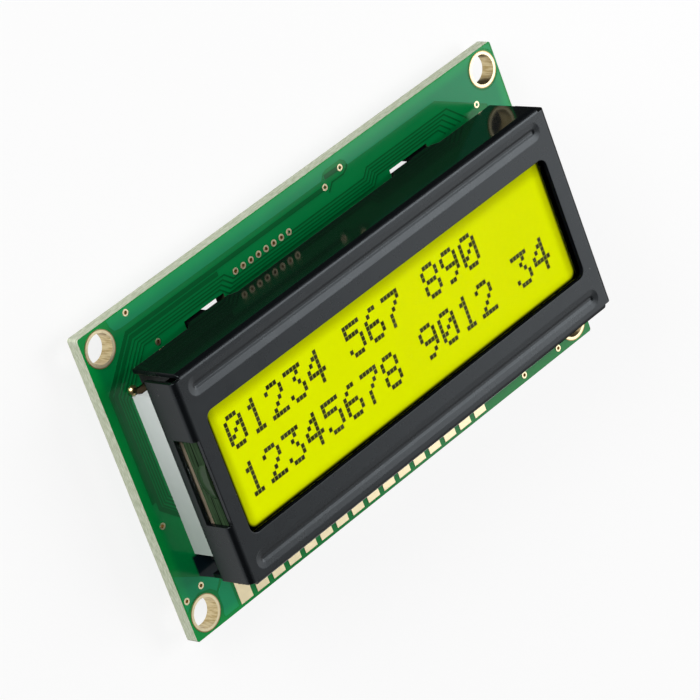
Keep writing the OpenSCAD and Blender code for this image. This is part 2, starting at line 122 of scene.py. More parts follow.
def math_node(tree, operation, *values):
    return place(tree, "ShaderNodeMath", dict(enumerate(values)), operation=operation).outputs[0]


def blend(tree, factor, first, second):
    """A colour between two: a mix node takes colours at its inputs 6 and 7."""
    node = place(tree, "ShaderNodeMix", {"Factor": factor, 6: first, 7: second}, data_type="RGBA")
    return node.outputs[2]


def ramp(tree, value, low_in, high_in, low_out=0.0, high_out=1.0):
    """A smooth step from one value to another."""
    inputs = {"Value": value, "From Min": low_in, "From Max": high_in,
              "To Min": low_out, "To Max": high_out}
    node = place(tree, "ShaderNodeMapRange", inputs, interpolation_type="SMOOTHSTEP")
    return node.outputs[0]


def blend_value(tree, factor, first, second):
    """A number between two."""
    node = place(tree, "ShaderNodeMix", {"Factor": factor, 2: first, 3: second})
    return node.outputs[0]


def inside(tree, value, limit):
    """1 where a coordinate lies within a distance of zero, else 0."""
    return math_node(tree, "LESS_THAN", math_node(tree, "ABSOLUTE", value), limit)


def between(tree, value, low_end, high_end, soft):
    """1 between two limits and 0 outside them, with soft ends."""
    return math_node(tree, "MULTIPLY", ramp(tree, value, low_end - soft, low_end + soft),
                     ramp(tree, value, high_end - soft, high_end + soft, 1.0, 0.0))


def object_mm(tree):
    """The object's own coordinates, in millimetres."""
    coordinates = place(tree, "ShaderNodeTexCoord").outputs["Object"]
    return place(tree, "ShaderNodeVectorMath", {0: coordinates, "Scale": 1 / MM},
                 operation="SCALE").outputs[0]


def split(tree, vector):
    """The X, Y and Z of a vector, as three sockets."""
    return place(tree, "ShaderNodeSeparateXYZ", {0: vector}).outputs


def surface_normal(tree):
    return place(tree, "ShaderNodeNewGeometry").outputs["Normal"]


def levelness(tree):
    """1 on a level face, above or below, and 0 on an upright one."""
    return math_node(tree, "ABSOLUTE", split(tree, surface_normal(tree))["Z"])


def stretched_noise(tree, spot, stretch, detail=3.0):
    """Noise that is drawn out along the axes whose factor is small."""
    drawn = place(tree, "ShaderNodeVectorMath", {0: spot, 1: stretch},
                  operation="MULTIPLY").outputs[0]
    return place(tree, "ShaderNodeTexNoise",
                 {"Vector": drawn, "Scale": 1.0, "Detail": detail}).outputs[0]


def new_group(name, inputs, outputs):
    """A shader node group with named sockets; returns it with its two end nodes."""
    group = bpy.data.node_groups.new(name, "ShaderNodeTree")
    for direction, sockets in (("INPUT", inputs), ("OUTPUT", outputs)):
        for label, kind in sockets:
            group.interface.new_socket(label, in_out=direction, socket_type="NodeSocket" + kind)
    return group, group.nodes.new("NodeGroupInput"), group.nodes.new("NodeGroupOutput")


def use_group(tree, group, inputs):
    return place(tree, "ShaderNodeGroup", inputs, node_tree=group)


def finish(name, **constants):
    """A material with a Principled BSDF, and the constants set on its own sockets."""
    material = bpy.data.materials.new(name)
    material.use_nodes = True
    tree = material.node_tree
    shader = tree.nodes["Principled BSDF"]
    for key, value in constants.items():
        shader.inputs[key.replace("_", " ")].default_value = value
    return material, tree, shader


# %% [markdown]
# ## Effects that several finishes share
# Real surfaces are never perfectly even. Two small groups are used again and again:
# a fine grain that roughens paint, resin and moulded plastic, and a slow mottling that
# varies a colour by a few per cent. Both read millimetres, so their scale is real.

# %% The fine grain group
grain, grain_in, grain_out = new_group(
    "fine_grain",
    (("Place", "Vector"), ("Size", "Float"), ("Depth", "Float"), ("Normal", "Vector")),
    (("Normal", "Vector"), ("Speck", "Float")))
grain_scale = math_node(grain, "DIVIDE", 1.0, grain_in.outputs["Size"])
grain_noise = place(grain, "ShaderNodeTexNoise",
                    {"Vector": grain_in.outputs["Place"], "Scale": grain_scale, "Detail": 2.0})
grain_bump = place(grain, "ShaderNodeBump",
                   {"Strength": 1.0, "Distance": grain_in.outputs["Depth"],
                    "Height": grain_noise.outputs[0], "Normal": grain_in.outputs["Normal"]})
grain.links.new(grain_bump.outputs[0], grain_out.inputs["Normal"])
grain.links.new(grain_noise.outputs[0], grain_out.inputs["Speck"])

# %% The mottling group
mottle, mottle_in, mottle_out = new_group(
    "mottle",
    (("Place", "Vector"), ("Size", "Float"), ("Color", "Color"), ("Amount", "Float"),
     ("Roughness", "Float")),
    (("Color", "Color"), ("Roughness", "Float")))
mottle_scale = math_node(mottle, "DIVIDE", 1.0, mottle_in.outputs["Size"])
mottle_noise = place(mottle, "ShaderNodeTexNoise",
                     {"Vector": mottle_in.outputs["Place"], "Scale": mottle_scale,
                      "Detail": 3.0}).outputs[0]
centred = math_node(mottle, "SUBTRACT", mottle_noise, 0.5)
change = math_node(mottle, "MULTIPLY", centred, mottle_in.outputs["Amount"])
gain = math_node(mottle, "ADD", change, 1.0)
scaled = place(mottle, "ShaderNodeVectorMath",
               {0: mottle_in.outputs["Color"], "Scale": gain}, operation="SCALE").outputs[0]
mottle.links.new(scaled, mottle_out.inputs["Color"])
mottle.links.new(math_node(mottle, "MULTIPLY", mottle_in.outputs["Roughness"], gain),
                 mottle_out.inputs["Roughness"])
print("shared groups:", grain.name, mottle.name)


# %% [markdown]
# ## A plain finish with grain and mottling
# Most of the small pieces need the same treatment with other numbers: a colour that
# drifts a little, a roughness that drifts with it and a grain in the normal. One
# function makes such a finish, and the special ones are built by hand below.

# %% Make a grained finish
def grained(name, color, roughness, size=0.2, depth=0.004, mottle_size=1.5, amount=0.25,
            **constants):
    material, tree, shader = finish(name, **constants)
    spot = object_mm(tree)
    drift = use_group(tree, mottle, {"Place": spot, "Size": mottle_size,
                                     "Color": (*color, 1.0), "Amount": amount,
                                     "Roughness": roughness})
    fine = use_group(tree, grain, {"Place": spot, "Size": size, "Depth": depth * MM,
                                   "Normal": surface_normal(tree)})
    tree.links.new(drift.outputs["Color"], shader.inputs["Base Color"])
    tree.links.new(drift.outputs["Roughness"], shader.inputs["Roughness"])
    tree.links.new(fine.outputs["Normal"], shader.inputs["Normal"])
    return material


finishes = {
    "seal_resin": grained("seal_resin", (0.012, 0.016, 0.010), 0.45),
    "diffuser": grained("diffuser", (0.40, 0.31, 0.20), 0.6),
    "strip_rubber": grained("strip_rubber", (0.01, 0.01, 0.012), 0.6),
    "white_board": grained("white_board", (0.75, 0.75, 0.72), 0.5),
    "led_package": grained("led_package", (0.7, 0.75, 0.25), 0.2),
    # the pins' gold is painted dark, as painted shade on their arms under the frame
    "pin_gold": grained("pin_gold", (0.10, 0.07, 0.04), 0.4, Metallic=1.0),
    "solder": grained("solder", (0.72, 0.72, 0.70), 0.25, Metallic=1.0),
    "gold_solder": grained("gold_solder", (0.90, 0.68, 0.34), 0.32, Metallic=1.0),
    "cap_resin": grained("cap_resin", (0.012, 0.012, 0.013), 0.3, size=0.6, depth=0.03),
    "resistor_body": grained("resistor_body", (0.02, 0.02, 0.022), 0.35),
    "capacitor_body": grained("capacitor_body", (0.42, 0.27, 0.15), 0.5),
    "terminal_tin": grained("terminal_tin", (0.72, 0.72, 0.72), 0.35, Metallic=1.0),
    "plug_resin": grained("plug_resin", (0.034, 0.066, 0.030), 0.16, Specular_IOR_Level=0.2),
}
print("plain finishes:", len(finishes))

# %% [markdown]
# ## The board's solder mask
# A board is a sheet of glass and epoxy with green lacquer on both faces. The lacquer is
# glossy and a little see-through, so bare laminate under it looks deeper green than
# copper does, and the cut edge shows the pale laminate with its layers of cloth. Along
# the board's edges the lacquer is painted lighter, as painted light. Under the bezel's
# lower side hardly any light reaches the board, so the lacquer is painted dark there, as
# painted shade with a painted reflection of the wall's dark inside: a strip behind the
# long wall, and a foot that a slanting line cuts off.

# %% Make the board's finish
BOARD_X, BOARD_Y = 32.5, 18.15       # half length and half width of the board
LACQUER_ROUGHNESS = 0.15
LAMINATE_ROUGHNESS = 0.7
lit_margin_fade = (-1.6, -0.3)           # distances from the board's edge, inwards negative
# painted shade under the bezel's lower side, with a painted reflection of its wall's dark inside
shade_color = (0.004, 0.012, 0.016, 1.0)
shade_strip = ((-29.2, 29.2, 0.15), (-13.1, -9.7, 0.2))      # low end, high end, softness
shade_foot = ((-29.2, -26.6, 0.1), (-14.3, -12.0, 0.1))
foot_slant = 0.73                    # how fast the foot's lower border falls along X
foot_border = (-33.4, -33.2)         # and where it lies, as Y plus the slant times X


def zone(tree, axes, limits):
    """1 inside a rectangle on the board, given by its limits along X and Y."""
    return math_node(tree, "MULTIPLY", *(
        between(tree, axes[i], *ends) for i, ends in enumerate(limits)))


def lacquer(name, middle, margin):
    """Green lacquer: one colour in the middle of the board, and a lighter one along its edges as
    painted light.
    """
    material, tree, shader = finish(name)
    spot = object_mm(tree)
    axes = split(tree, spot)
    to_edge = math_node(tree, "MAXIMUM", *(
        math_node(tree, "SUBTRACT", math_node(tree, "ABSOLUTE", axes[i]), half)
        for i, half in enumerate((BOARD_X, BOARD_Y))))
    # painted light: the colour along the board's edges is lighter than in the middle
    green = blend(tree, ramp(tree, to_edge, *lit_margin_fade), (*middle, 1.0), (*margin, 1.0))
    # painted shade and painted reflection: the lacquer's colour turns dark navy in these zones
    shaded = math_node(tree, "MAXIMUM", zone(tree, axes, shade_strip),
                       zone(tree, axes, shade_foot))
    slanted = math_node(tree, "MULTIPLY_ADD", axes[0], foot_slant, axes[1])
    shaded = math_node(tree, "MULTIPLY", shaded, ramp(tree, slanted, *foot_border))
    drift = use_group(tree, mottle, {
        "Place": spot, "Size": 6.0, "Amount": 0.2, "Roughness": LACQUER_ROUGHNESS,
        "Color": blend(tree, shaded, green, shade_color)})
    shader.inputs["Specular IOR Level"].default_value = 0.3
    tree.links.new(drift.outputs["Color"], shader.inputs["Base Color"])
    tree.links.new(drift.outputs["Roughness"], shader.inputs["Roughness"])
    return material, tree, shader, spot, drift.outputs["Color"]


board, tree, shader, spot, green = lacquer("board", (0.0002, 0.240, 0.058),
                                           (0.002, 0.36, 0.066))
cloth = stretched_noise(tree, spot, (1.2, 1.2, 9.0), detail=4.0)
edge_color = blend(tree, ramp(tree, cloth, 0.35, 0.65),
                   (0.52, 0.58, 0.40, 1.0), (0.76, 0.80, 0.64, 1.0))
on_face = ramp(tree, levelness(tree), 0.6, 0.8)
axes = split(tree, spot)
slot_margin = 0.4                    # the outer edge is cut pale; cut faces inside it are painted dark, as painted shade
# painted shade: the cut faces of slots and holes are darkened
slot_shade = math_node(tree, "MULTIPLY", inside(tree, axes[0], BOARD_X - slot_margin),
                    inside(tree, axes[1], BOARD_Y - slot_margin))
cut_color = blend(tree, slot_shade, edge_color, (0.035, 0.045, 0.020, 1.0))
tree.links.new(blend(tree, on_face, cut_color, green), shader.inputs["Base Color"])
tree.links.new(ramp(tree, on_face, 0.0, 1.0, LAMINATE_ROUGHNESS, LACQUER_ROUGHNESS),
               shader.inputs["Roughness"])
finishes["fr4_green"] = board


# %% [markdown]
# ## Gold
# The pads and rings are plated. Their flat faces look pale, and the mounting rings are
# darker where the lacquer ends. The inside of a plated hole shows fine streaks along its
# axis, left by the drill.

# %% Make the gold
gold, tree, shader = finish("gold_finish", Metallic=1.0)
spot = object_mm(tree)
on_face = ramp(tree, levelness(tree), 0.4, 0.7)
streak = stretched_noise(tree, spot, (5.0, 5.0, 0.7))
barrel = blend(tree, ramp(tree, streak, 0.3, 0.68),
               (0.60, 0.44, 0.19, 1.0), (0.95, 0.79, 0.46, 1.0))
axes = split(tree, spot)
from_mount = place(tree, "ShaderNodeCombineXYZ", {
    i: math_node(tree, "SUBTRACT", math_node(tree, "ABSOLUTE", axes[i]), middle)
    for i, middle in enumerate((MOUNT_X, MOUNT_Y))}).outputs[0]
radius = place(tree, "ShaderNodeVectorMath", {0: from_mount}, operation="LENGTH").outputs["Value"]
ring_radius = high("mounting_rings").x / MM - MOUNT_X
rim_inside, rim_outside, rim_soft = 0.1, 0.3, 0.05
at_rim = between(tree, radius, ring_radius - rim_inside, ring_radius + rim_outside, rim_soft)
plated = blend(tree, at_rim, (0.96, 0.83, 0.54, 1.0), (0.36, 0.25, 0.11, 1.0))
drift = use_group(tree, mottle, {"Place": spot, "Size": 1.2, "Amount": 0.25,
                                 "Color": plated, "Roughness": 0.3})
tree.links.new(blend(tree, on_face, barrel, drift.outputs["Color"]),
               shader.inputs["Base Color"])
tree.links.new(drift.outputs["Roughness"], shader.inputs["Roughness"])
finishes["gold_finish"] = gold

# %% [markdown]
# ## The white frame
# Moulded plastic, painted a little darker towards its lower end, as painted shade. Behind
# the bezel's end wall it is painted dark, as painted shade, and its top edge, where the
# films lie on it, is stained tan by their glue.

# %% Make the white frame's finish
plastic, tree, shader = finish("white_frame")
spot = object_mm(tree)
axes = split(tree, spot)
frame_top = high("backlight_frame").z / MM
shaded_length = 11.0                 # the painted shade runs this far along Y, either way
# painted shade: the frame's colour darkens towards its lower end
tone = blend(tree, ramp(tree, axes["Y"], -shaded_length, shaded_length),
             (0.44, 0.49, 0.46, 1.0), (0.86, 0.90, 0.89, 1.0))
# painted shade: the frame is near black where the end wall shades it
shade_behind_wall = ramp(tree, axes["Z"], frame_top - 1.1, frame_top - 0.9)
at_films = ramp(tree, axes["Z"], frame_top - 0.3, frame_top - 0.2)
tone = blend(tree, shade_behind_wall, tone, (0.02, 0.02, 0.018, 1.0))
tone = blend(tree, at_films, tone, (0.52, 0.43, 0.32, 1.0))
drift = use_group(tree, mottle, {"Place": spot, "Size": 1.5, "Amount": 0.06,
                                 "Color": tone, "Roughness": 0.45})
tree.links.new(drift.outputs["Color"], shader.inputs["Base Color"])
tree.links.new(drift.outputs["Roughness"], shader.inputs["Roughness"])
finishes["white_frame"] = plastic

# %% [markdown]
# ## The bezel's paint
# Satin black lacquer over steel: almost black, smooth enough to mirror the board in
# the long wall, with a very fine grain that softens the reflection and a few specks of
# dust. The long wall's reflection is painted a little green and weaker than the face's,
# as a painted reflection. The window's cut rim is bare of gloss.

# %% Make the paint
paint, tree, shader = finish("bezel_paint")
spot = object_mm(tree)
facing = split(tree, surface_normal(tree))
long_wall = ramp(tree, math_node(tree, "ABSOLUTE", facing["Y"]), 0.55, 0.95)
axes = split(tree, spot)
rim_reach = 0.08                     # how far round the window its cut rim is looked for
from_window = math_node(tree, "ADD", axes["Y"], WINDOW_DROP)
in_window = math_node(tree, "MULTIPLY", inside(tree, axes["X"], WINDOW_X + rim_reach),
                      inside(tree, from_window, WINDOW_Y + rim_reach))
cut_rim = math_node(tree, "MULTIPLY", in_window, inside(tree, facing["Z"], 0.5))
fold_softness = 0.14                 # how far a fold's edge is rounded in the shading
rounded = place(tree, "ShaderNodeBevel", {"Radius": fold_softness * MM},
                samples=8).outputs[0]
fine = use_group(tree, grain, {"Place": spot, "Size": 0.15, "Depth": 0.00006 * MM,
                               "Normal": rounded})
satin = ramp(tree, long_wall, 0.0, 1.0, 0.28, 0.12)
drift = use_group(tree, mottle, {"Place": spot, "Size": 1.8, "Amount": 0.3,
                                 "Color": (0.004, 0.0048, 0.0058, 1.0), "Roughness": satin})
specks_per_mm = 0.38                 # along a line
speck_share = 0.02                   # a speck's radius, as a share of what lies between two
cells = place(tree, "ShaderNodeTexVoronoi", {"Vector": spot, "Scale": specks_per_mm})
dust = math_node(tree, "LESS_THAN", cells.outputs["Distance"], speck_share)
tree.links.new(blend(tree, dust, drift.outputs["Color"], (0.30, 0.31, 0.30, 1.0)),
               shader.inputs["Base Color"])
tree.links.new(blend_value(tree, cut_rim, drift.outputs["Roughness"], 0.9),
               shader.inputs["Roughness"])
# painted reflection: the long wall's reflection is tinted green and, below, made weaker
tree.links.new(blend(tree, long_wall, (0.84, 0.93, 1.0, 1.0), (0.62, 0.90, 0.70, 1.0)),
               shader.inputs["Specular Tint"])
sheen = ramp(tree, long_wall, 0.0, 1.0, 0.5, 0.3)
tree.links.new(blend_value(tree, cut_rim, sheen, 0.0), shader.inputs["Specular IOR Level"])
tree.links.new(fine.outputs["Normal"], shader.inputs["Normal"])
finishes["bezel_paint"] = paint

# %% [markdown]
# ## Glass and films
# The plates and films are laminated, with nearly the same optical density, so light
# passes from one to the next almost unbent and hardly any is lost to reflection. The
# plates' cut edges are painted dark, as painted shade, except in the bezel's end opening,
# where they glow with painted light on both sides of the dark seam between them.

# %% Make the clear layers
BLACK = (0.0, 0.0, 0.0, 1.0)
glass, tree, shader = finish("cell_glass", Transmission_Weight=1.0, IOR=1.05, Roughness=0.0)
shader.inputs["Specular Tint"].default_value = BLACK
shader.inputs["Emission Strength"].default_value = 1.0
spot = object_mm(tree)
axes = split(tree, spot)
opening_half = 5.3                   # the end opening's half width, with a little over
seam_half = 0.07
cut_edge = ramp(tree, levelness(tree), 0.7, 0.3)
at_opening = math_node(tree, "MULTIPLY", cut_edge, inside(tree, axes["Y"], opening_half))
streak = stretched_noise(tree, spot, (1.0, 0.25, 4.0))
# painted light: the cut edges in the end opening glow by emission, in streaks
painted_edge_light = blend(tree, ramp(tree, streak, 0.3, 0.7),
                  (0.013, 0.027, 0.012, 1.0), (0.036, 0.066, 0.032, 1.0))
from_seam = math_node(tree, "SUBTRACT", axes["Z"], high("rear_glass").z / MM)
painted_edge_light = blend(tree, inside(tree, from_seam, seam_half), painted_edge_light, (0.0, 0.002, 0.0, 1.0))
# painted shade: the plates' cut edges are black
tree.links.new(blend(tree, cut_edge, (0.98, 1.0, 0.98, 1.0), BLACK),
               shader.inputs["Base Color"])
tree.links.new(blend(tree, at_opening, BLACK, painted_edge_light), shader.inputs["Emission Color"])
finishes["cell_glass"] = glass

film, tree, shader = finish("polariser", Transmission_Weight=1.0, IOR=1.05, Roughness=0.02)
shader.inputs["Specular Tint"].default_value = BLACK
spot = object_mm(tree)
drift = use_group(tree, mottle, {"Place": spot, "Size": 8.0, "Amount": 0.02,
                                 "Color": (0.95, 0.96, 0.88, 1.0), "Roughness": 0.02})
tree.links.new(drift.outputs["Color"], shader.inputs["Base Color"])
finishes["polariser"] = film

# %% [markdown]
# ## The film that glows
# The backlight shines through a round-cornered well, so the film behind the cell glows
# in that outline and fades a little towards its right and lower edges. Towards its left
# and upper edges it is painted darker, as the painted shadow of the bezel's window edge.

# %% Make the glowing film
lit, tree, shader = finish("lit_film", Roughness=0.5)
lit_middle = (1.6, -0.43, 0.0)
lit_half = (26.4, 7.76)
lit_corner = 0.8                     # radius of the outline's corners
lit_soft = 0.2
from_middle = split(tree, place(tree, "ShaderNodeVectorMath",
                                {0: object_mm(tree), 1: lit_middle},
                                operation="SUBTRACT").outputs[0])
past_corner = [
    math_node(tree, "MAXIMUM", math_node(
        tree, "SUBTRACT", math_node(tree, "ABSOLUTE", from_middle[i]), half - lit_corner), 0.0)
    for i, half in enumerate(lit_half)]
reach = math_node(tree, "SQRT", math_node(
    tree, "ADD", *(math_node(tree, "POWER", distance, 2.0) for distance in past_corner)))
glow = ramp(tree, reach, lit_corner - lit_soft, lit_corner + lit_soft, 1.0, 0.0)
# the left and upper rows are painted shadow of the window's edge; the other two are the film's
# own fade
fades_and_painted_shadows = (                       # axis, where it starts and ends, brightness there
    (0, -26.4, -25.1, 0.62, 1.0), (0, 25.1, 26.3, 1.0, 0.62),
    (1, -7.0, -7.75, 1.0, 0.8), (1, 6.1, 4.4, 0.55, 1.0))
for axis, *fade in fades_and_painted_shadows:
    glow = math_node(tree, "MULTIPLY", glow, ramp(tree, from_middle[axis], *fade))
tree.links.new(blend(tree, glow, BLACK, (0.775, 0.83, 0.0, 1.0)),
               shader.inputs["Emission Color"])
shader.inputs["Emission Strength"].default_value = 1.0
shader.inputs["Base Color"].default_value = (0.004, 0.005, 0.002, 1.0)
shader.inputs["Specular IOR Level"].default_value = 0.0
finishes["lit_film"] = lit

# %% [markdown]
# ## Give each CAD piece its finish
# The record says which finish each piece has. A CAD piece keeps its mesh and only
# gets a material in its slot. The pins' solder has taken up gold from the plating.

# %% Assign the finishes
slot_of = {part["node"]: part["material_slot"] for part in frame["record"]["subparts"]}
for name, piece in nodes.items():
    piece.data.materials.clear()
    piece.data.materials.append(finishes[slot_of[name]])
nodes["pin_solder"].data.materials[0] = finishes["gold_solder"]
print("finishes in use:", len(set(slot_of.values())))

# %% [markdown]
# ## The dots
# Each character is five dots wide and seven high. The pattern of every figure is
# written as seven rows of bits. The dots themselves are one small tile, which a
# Geometry Nodes tree sets on every lit point between the glass plates.

# %% The figures' patterns
FIGURES = {
    "0": (14, 17, 19, 21, 25, 17, 14), "1": (4, 12, 4, 4, 4, 4, 14),
    "2": (14, 17, 1, 2, 4, 8, 31), "3": (31, 2, 4, 2, 1, 17, 14),
    "4": (2, 6, 10, 18, 31, 2, 2), "5": (31, 16, 30, 1, 1, 17, 14),
    "6": (6, 8, 16, 30, 17, 17, 14), "7": (31, 1, 2, 4, 8, 8, 8),
    "8": (14, 17, 17, 14, 17, 17, 14), "9": (14, 17, 17, 15, 1, 2, 12),
}
ROWS = ("01234 567 890", "12345678 9012 34")
DOT_COLUMNS = 5
row_tops = (4.52, -1.18)             # all in millimetres from here on
first_left = -24.14
cell_pitch = 3.09
dot_pitch = (0.515, 0.555)
dot_size = (0.46, 0.50, 0.02)


def dot_places():
    """The middle of every dark dot."""
    points = []
    for text, top in zip(ROWS, row_tops):
        for cell, figure in enumerate(text):
            for line, bits in enumerate(FIGURES.get(figure, ())):
                for column in range(DOT_COLUMNS):
                    if bits >> (DOT_COLUMNS - 1 - column) & 1:
                        x = first_left + cell * cell_pitch + column * dot_pitch[0]
                        y = top - line * dot_pitch[1]
                        points.append((x + dot_size[0] / 2, y - dot_size[1] / 2))
    return points


print("dots:", len(dot_places()))


# %% Geometry Nodes: one tile on every point
def tree_with_inputs(name, inputs):
    """A Geometry Nodes tree with named inputs; returns it with its two end nodes."""
    tree = bpy.data.node_groups.new(name, "GeometryNodeTree")
    tree.interface.new_socket("Geometry", in_out="INPUT", socket_type="NodeSocketGeometry")
    for label, kind, value in inputs:
        socket = tree.interface.new_socket(label, in_out="INPUT",
                                           socket_type="NodeSocket" + kind)
        socket.default_value = value
    tree.interface.new_socket("Geometry", in_out="OUTPUT", socket_type="NodeSocketGeometry")
    return tree, tree.nodes.new("NodeGroupInput"), tree.nodes.new("NodeGroupOutput")


tiles, tiles_in, tiles_out = tree_with_inputs(
    "tiles_on_points", (("Tile Size", "Vector", (0.001, 0.001, 0.001)),))
tile = place(tiles, "GeometryNodeMeshCube", {"Size": tiles_in.outputs["Tile Size"]})
spread = place(tiles, "GeometryNodeInstanceOnPoints",
               {"Points": tiles_in.outputs["Geometry"], "Instance": tile.outputs["Mesh"]})
real = place(tiles, "GeometryNodeRealizeInstances", {"Geometry": spread.outputs[0]})
tile_material = place(tiles, "GeometryNodeSetMaterial", {"Geometry": real.outputs[0]})
tiles.links.new(tile_material.outputs[0], tiles_out.inputs[0])


def grow(name, points, edges, tree, material, **inputs):
    """Runs a tree on points and edges, and returns the result as a plain mesh object."""
    for node in tree.nodes:
        if node.bl_idname == "GeometryNodeSetMaterial":
            node.inputs["Material"].default_value = material
    seed = bpy.data.meshes.new(name + "_seed")
    seed.from_pydata(points, edges, [])
    carrier = bpy.data.objects.new(name + "_seed", seed)
    bpy.context.scene.collection.objects.link(carrier)
    modifier = carrier.modifiers.new("grow", "NODES")
    modifier.node_group = tree
    for item in tree.interface.items_tree:
        key = item.name.replace(" ", "_").lower()
        if item.item_type == "SOCKET" and item.in_out == "INPUT" and key in inputs:
            modifier[item.identifier] = inputs[key]
    evaluated = carrier.evaluated_get(bpy.context.evaluated_depsgraph_get())
    mesh = bpy.data.meshes.new_from_object(evaluated)
    mesh.name = name
    bpy.data.objects.remove(carrier)
    piece = bpy.data.objects.new(name, mesh)
    bpy.context.scene.collection.objects.link(piece)
    return piece


# %% Set the dots in the liquid-crystal layer
ink = grained("dot_ink", (0.012, 0.015, 0.0), 0.6)
dot_level = (low("cell_seal").z + high("cell_seal").z) / 2
dots = grow("display_dots", [(x * MM, y * MM, dot_level) for x, y in dot_places()], [],
            tiles, ink, tile_size=tuple(s * MM for s in dot_size))
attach(dots, "root")
print("dot mesh:", len(dots.data.polygons), "faces")

# %% [markdown]
# ## The copper under the lacquer
# Tracks run along the upper edge, turn round the corner hole at forty-five degrees and
# go down the left end. Each is written as its corner points, and a Geometry Nodes tree
# sweeps a flat profile with slanted flanks along all of them at once. The flank that
# faces the upper left is painted lighter green, as a painted highlight, so every track
# gets a thin bright line. The areas between are poured copper: closed outlines, with
# smaller loops inside them wherever a hole has to stay open.

# %% A tree that sweeps a flat track along every path
sweep, sweep_in, sweep_out = tree_with_inputs(
    "track_on_path", (("Track Width", "Float", 0.0002), ("Track Height", "Float", 0.0001)))
paths = place(sweep, "GeometryNodeMeshToCurve", {"Mesh": sweep_in.outputs["Geometry"]})
upright = place(sweep, "GeometryNodeSetCurveNormal", {"Curve": paths.outputs[0]}, mode="Z_UP")
both_flanks = 0.08                   # width of a track's two flanks together
top_width = math_node(sweep, "SUBTRACT", sweep_in.outputs["Track Width"], both_flanks * MM)
profile = place(sweep, "GeometryNodeCurvePrimitiveQuadrilateral",
                {"Bottom Width": sweep_in.outputs["Track Width"], "Top Width": top_width,
                 "Offset": 0.0, "Height": sweep_in.outputs["Track Height"]},
                mode="TRAPEZOID")
swept = place(sweep, "GeometryNodeCurveToMesh",
              {"Curve": upright.outputs[0], "Profile Curve": profile.outputs[0],
               "Fill Caps": True})
crisp = place(sweep, "GeometryNodeSetShadeSmooth",
              {"Geometry": swept.outputs[0], "Shade Smooth": False})
swept_material = place(sweep, "GeometryNodeSetMaterial", {"Geometry": crisp.outputs[0]})
sweep.links.new(swept_material.outputs[0], sweep_out.inputs[0])

# %% A tree that fills closed loops and gives them a thickness
pour, pour_in, pour_out = tree_with_inputs(
    "pour_in_loops", (("Pour Height", "Float", 0.0001), ("Pour Level", "Float", 0.0)))
loops = place(pour, "GeometryNodeMeshToCurve", {"Mesh": pour_in.outputs["Geometry"]})
filled = place(pour, "GeometryNodeFillCurve", {"Curve": loops.outputs[0]})
rise = place(pour, "ShaderNodeCombineXYZ", {"Z": pour_in.outputs["Pour Height"]})
raised = place(pour, "GeometryNodeExtrudeMesh",
               {"Mesh": filled.outputs[0], "Offset": rise.outputs[0], "Individual": False})
raised.inputs["Offset Scale"].default_value = 1.0
under = place(pour, "GeometryNodeFlipFaces", {"Mesh": filled.outputs[0]})
closed = place(pour, "GeometryNodeJoinGeometry")
pour.links.new(raised.outputs[0], closed.inputs[0])
pour.links.new(under.outputs[0], closed.inputs[0])
welded = place(pour, "GeometryNodeMergeByDistance",
               {"Geometry": closed.outputs[0], "Distance": 0.000001})
lift = place(pour, "ShaderNodeCombineXYZ", {"Z": pour_in.outputs["Pour Level"]})
lifted = place(pour, "GeometryNodeTransform",
               {"Geometry": welded.outputs[0], "Translation": lift.outputs[0]})
even = place(pour, "GeometryNodeSetShadeSmooth",
             {"Geometry": lifted.outputs[0], "Shade Smooth": False})
pour_material = place(pour, "GeometryNodeSetMaterial", {"Geometry": even.outputs[0]})
pour.links.new(pour_material.outputs[0], pour_out.inputs[0])


# %% Paths as points and edges
def chains(lines, level, closed_loops=False):
    """Points (m) and edges of several polylines given in millimetres."""
    points, edges = [], []
    for line in lines:
        start = len(points)
        points += [(x * MM, y * MM, level) for x, y in line]
        edges += [(start + i, start + i + 1) for i in range(len(line) - 1)]
        if closed_loops:
            edges.append((len(points) - 1, start))
    return points, edges


def ring(x, y, radius, count=32):
    """The points of a circle."""
    return [(x + radius * math.cos(2 * math.pi * i / count),
             y + radius * math.sin(2 * math.pi * i / count)) for i in range(count)]


# %% The tracks of the front
copper_height = 0.03
wide_tracks = [
    [(-31.15, -2.0), (-31.15, 10.85), (-26.45, 15.55), (4.15, 15.55)],
    [(-28.3, -5.2), (-30.6, -2.9), (-30.6, 10.45), (-26.15, 14.9), (-13.0, 14.9)],
    [(4.5, 16.57), (6.95, 16.5)],
]
# Four fine tracks run side by side. Each has its Y along the upper edge, its X along the
# left end, and the Y minus X of the slanted stretch that joins the two. What else
# differs from one to the next is a pitch.
fine_levels = ((14.35, -30.12, 40.2), (13.97, -29.8, 39.5), (13.6, -29.47, 38.85),
               (13.23, -29.14, 38.2))
under_x, under_y, under_pitch = -28.3, -4.6, 0.5     # where they slip under the backlight
drop, drop_x, drop_pitch = 0.98, -12.3, -0.4         # the step down, to pass the via row
climb, climb_x, climb_pitch = 0.86, 9.75, 0.25       # and the step up after it
turn_x, turn_pitch = 22.9, -0.5                      # the last turn
end_x, end_y, end_pitch = 24.8, 12.3, (-0.85, -0.01)
fine_tracks = []
for i, (level, left, slant) in enumerate(fine_levels):
    start_y = under_y + under_pitch * i
    middle = level - drop
    down, up = drop_x + drop_pitch * i, climb_x + climb_pitch * i
    fine_tracks.append([
        (under_x, start_y), (left, start_y + (under_x - left)), (left, left + slant),
        (level - slant, level), (down, level), (down + drop, middle),
        (up, middle), (up + climb, middle + climb), (turn_x + turn_pitch * i, middle + climb),
        (end_x + end_pitch[0] * i, end_y + end_pitch[1] * i)])
fine_tracks += [
    [(-2.42, 13.9), (-2.1, 13.75), (9.5, 13.75), (10.35, 14.6), (23.5, 14.6), (25.8, 12.3)],
    [(4.5, 14.8), (5.3, 15.6), (7.1, 15.6), (7.75, 15.95), (8.0, 16.3)],
]
board_top = board_high.z
